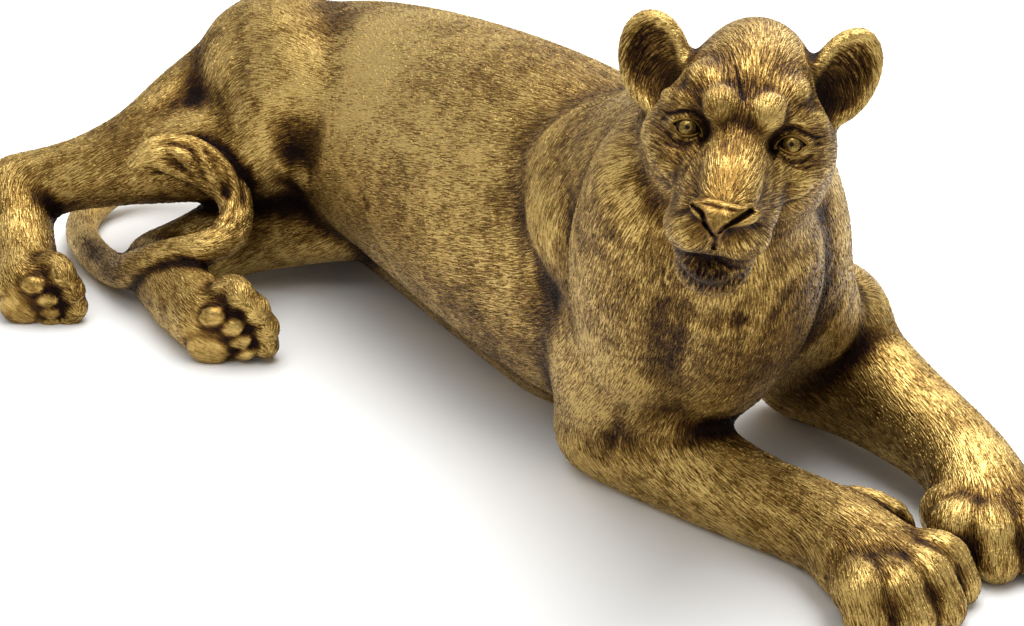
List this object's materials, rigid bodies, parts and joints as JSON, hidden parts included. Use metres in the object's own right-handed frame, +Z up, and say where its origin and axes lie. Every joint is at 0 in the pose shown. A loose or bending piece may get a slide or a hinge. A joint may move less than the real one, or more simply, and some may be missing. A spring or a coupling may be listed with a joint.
{
  "type": "reclining lioness floor statue",
  "caption": "Large gilded floor figure of a lioness lying on her chest, forelegs stretched out, hind legs to one side, head turned to look out over her shoulder",
  "frame": {"origin": "on the floor, at the middle of the bounding box's bottom face", "axes": "+X towards the head and the fore paws, along the longest extent; +Y to her left; +Z up"},
  "size_m": [1.13, 0.618, 0.4548],
  "materials": {
    "old_gold": "old gold leaf over dark patina, brushed like fur, satin"
  },
  "bodies": {
    "root": {"lioness": "old_gold"}
  },
  "joints": []
}
